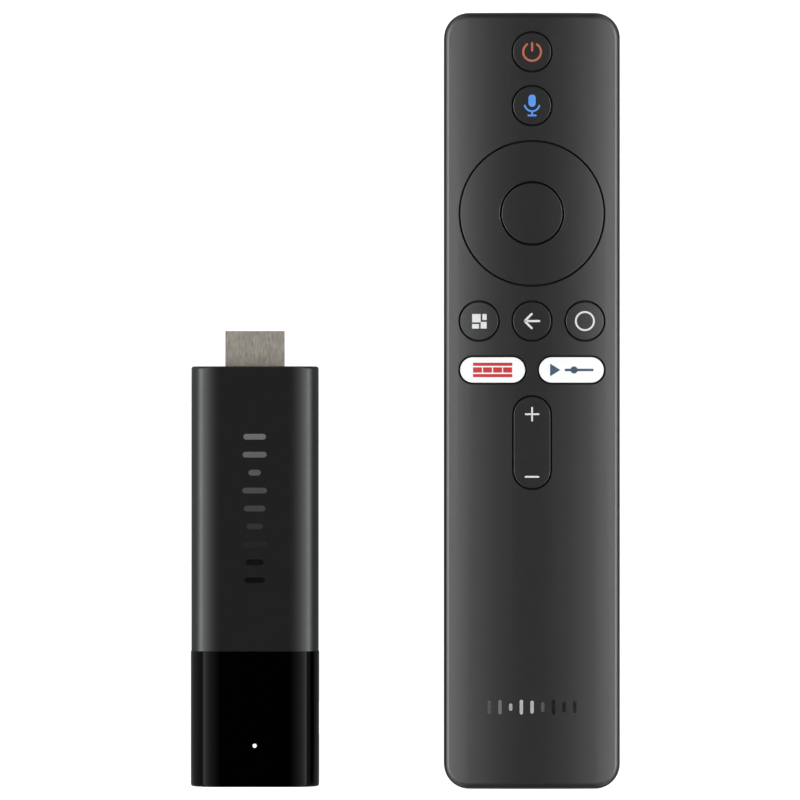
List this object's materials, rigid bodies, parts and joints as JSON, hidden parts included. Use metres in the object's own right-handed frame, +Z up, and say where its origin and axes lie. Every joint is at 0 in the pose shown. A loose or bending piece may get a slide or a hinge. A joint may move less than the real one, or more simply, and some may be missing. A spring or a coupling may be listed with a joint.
{
  "type": "streaming media player with remote",
  "caption": "Streaming media stick with a plug at one end and a gloss end cap, lying beside its slim hand remote with round keys and a ring pad.",
  "frame": {"origin": "centre of the pair's footprint, on the surface that both pieces lie on", "axes": "+X from the stick to the remote, +Y towards the plug and the remote's power key, +Z up out of the keys"},
  "size_m": [0.1006, 0.1818, 0.0167],
  "materials": {
    "case_plastic": "fine matt moulded grain",
    "key_plastic": "satin moulded",
    "white_plastic": "satin white, printed",
    "silicone": "soft translucent grey",
    "carbon_rubber": "conductive, dull",
    "board_laminate": "green solder mask",
    "steel": "zinc plated",
    "nickel": "nickel plated",
    "cell_jacket": "printed film over the can",
    "chip_resin": "moulded resin",
    "ceramic": "tinned ends",
    "sleeve_plastic": "satin painted",
    "gloss_black": "high gloss",
    "inner_plastic": "glass filled, dull",
    "thermal_rubber": "soft grey pad",
    "spreader_metal": "mill finish",
    "led_white": "milky clear",
    "plug_metal": "nickel plated, faint drawing lines",
    "contact_gold": "gold plated"
  },
  "bodies": {
    "remote": {"remote_top_cover": "case_plastic", "remote_bottom_case": "case_plastic", "remote_circuit_board": "board_laminate", "board_screws": "steel", "case_screws": "steel", "rubber_keypad": "silicone", "carbon_contacts": "carbon_rubber", "cell_left": "cell_jacket", "cell_right": "cell_jacket", "battery_spring_left": "nickel", "battery_spring_right": "nickel", "battery_plates": "nickel", "wireless_chip": "chip_resin", "crystal": "nickel", "microphone": "nickel", "remote_capacitors": "ceramic"},
    "battery_cover": {"battery_cover": "case_plastic"},
    "power_key": {"power_key": "key_plastic"},
    "voice_key": {"voice_key": "key_plastic"},
    "apps_key": {"apps_key": "key_plastic"},
    "back_key": {"back_key": "key_plastic"},
    "home_key": {"home_key": "key_plastic"},
    "left_shortcut_key": {"left_shortcut_key": "white_plastic"},
    "right_shortcut_key": {"right_shortcut_key": "white_plastic"},
    "ok_key": {"ok_key": "key_plastic"},
    "nav_seat": {"nav_seat": "silicone"},
    "nav_ring": {"nav_ring": "key_plastic"},
    "volume_rocker": {"volume_rocker": "key_plastic"},
    "stick": {"stick_sleeve": "sleeve_plastic", "stick_end_cap": "gloss_black", "board_carrier": "inner_plastic", "stick_circuit_board": "board_laminate", "stick_screws": "steel", "processor": "chip_resin", "memory_chip": "chip_resin", "flash_chip": "chip_resin", "wifi_chip": "chip_resin", "shield_can": "nickel", "thermal_pad": "thermal_rubber", "heat_spreader": "spreader_metal", "antennas": "nickel", "led_chip": "led_white", "light_pipe": "led_white", "stick_capacitors": "ceramic", "hdmi_shell": "plug_metal", "hdmi_insulator": "inner_plastic", "hdmi_contacts": "contact_gold", "usb_shell": "plug_metal", "usb_tongue": "inner_plastic", "usb_contacts": "contact_gold"}
  },
  "joints": [
    {"name": "power_press", "type": "slide", "parent": "remote", "child": "power_key", "axis": [0, 0, -1], "range_m": [0, 0.0006], "stiffness_N_per_m": 1500, "springref_m": -0.0002, "deforming": ["rubber_keypad"]},
    {"name": "voice_press", "type": "slide", "parent": "remote", "child": "voice_key", "axis": [0, 0, -1], "range_m": [0, 0.0006], "stiffness_N_per_m": 1500, "springref_m": -0.0002, "deforming": ["rubber_keypad"]},
    {"name": "apps_press", "type": "slide", "parent": "remote", "child": "apps_key", "axis": [0, 0, -1], "range_m": [0, 0.0006], "stiffness_N_per_m": 1500, "springref_m": -0.0002, "deforming": ["rubber_keypad"]},
    {"name": "back_press", "type": "slide", "parent": "remote", "child": "back_key", "axis": [0, 0, -1], "range_m": [0, 0.0006], "stiffness_N_per_m": 1500, "springref_m": -0.0002, "deforming": ["rubber_keypad"]},
    {"name": "home_press", "type": "slide", "parent": "remote", "child": "home_key", "axis": [0, 0, -1], "range_m": [0, 0.0006], "stiffness_N_per_m": 1500, "springref_m": -0.0002, "deforming": ["rubber_keypad"]},
    {"name": "left_shortcut_press", "type": "slide", "parent": "remote", "child": "left_shortcut_key", "axis": [0, 0, -1], "range_m": [0, 0.0006], "stiffness_N_per_m": 1500, "springref_m": -0.0002, "deforming": ["rubber_keypad"]},
    {"name": "right_shortcut_press", "type": "slide", "parent": "remote", "child": "right_shortcut_key", "axis": [0, 0, -1], "range_m": [0, 0.0006], "stiffness_N_per_m": 1500, "springref_m": -0.0002, "deforming": ["rubber_keypad"]},
    {"name": "ok_press", "type": "slide", "parent": "remote", "child": "ok_key", "axis": [0, 0, -1], "range_m": [0, 0.0005], "stiffness_N_per_m": 1500, "springref_m": -0.0002, "deforming": ["rubber_keypad"]},
    {"name": "nav_tilt_x", "type": "hinge", "parent": "remote", "child": "nav_seat", "pos_m": [0.02969, 0.04385, 0.01255], "axis": [1, 0, 0], "range_deg": [-1.5, 1.5], "stiffness_Nm_per_rad": 0.7, "deforming": ["rubber_keypad", "nav_seat"]},
    {"name": "nav_tilt_y", "type": "hinge", "parent": "nav_seat", "child": "nav_ring", "pos_m": [0.02969, 0.04385, 0.01255], "axis": [0, 1, 0], "range_deg": [-1.5, 1.5], "stiffness_Nm_per_rad": 0.7, "deforming": ["rubber_keypad", "nav_seat"]},
    {"name": "volume_rock", "type": "hinge", "parent": "remote", "child": "volume_rocker", "pos_m": [0.02969, -0.00977, 0.013], "axis": [1, 0, 0], "range_deg": [-2.5, 2.5], "stiffness_Nm_per_rad": 0.2, "deforming": ["rubber_keypad"]},
    {"name": "battery_cover_slide", "type": "slide", "parent": "remote", "child": "battery_cover", "axis": [0, -1, 0], "range_m": [0, 0.066]},
    {"name": "stick_lift", "type": "slide", "parent": "remote", "child": "stick", "axis": [0, 0, 1], "range_m": [0, 0.06]}
  ]
}
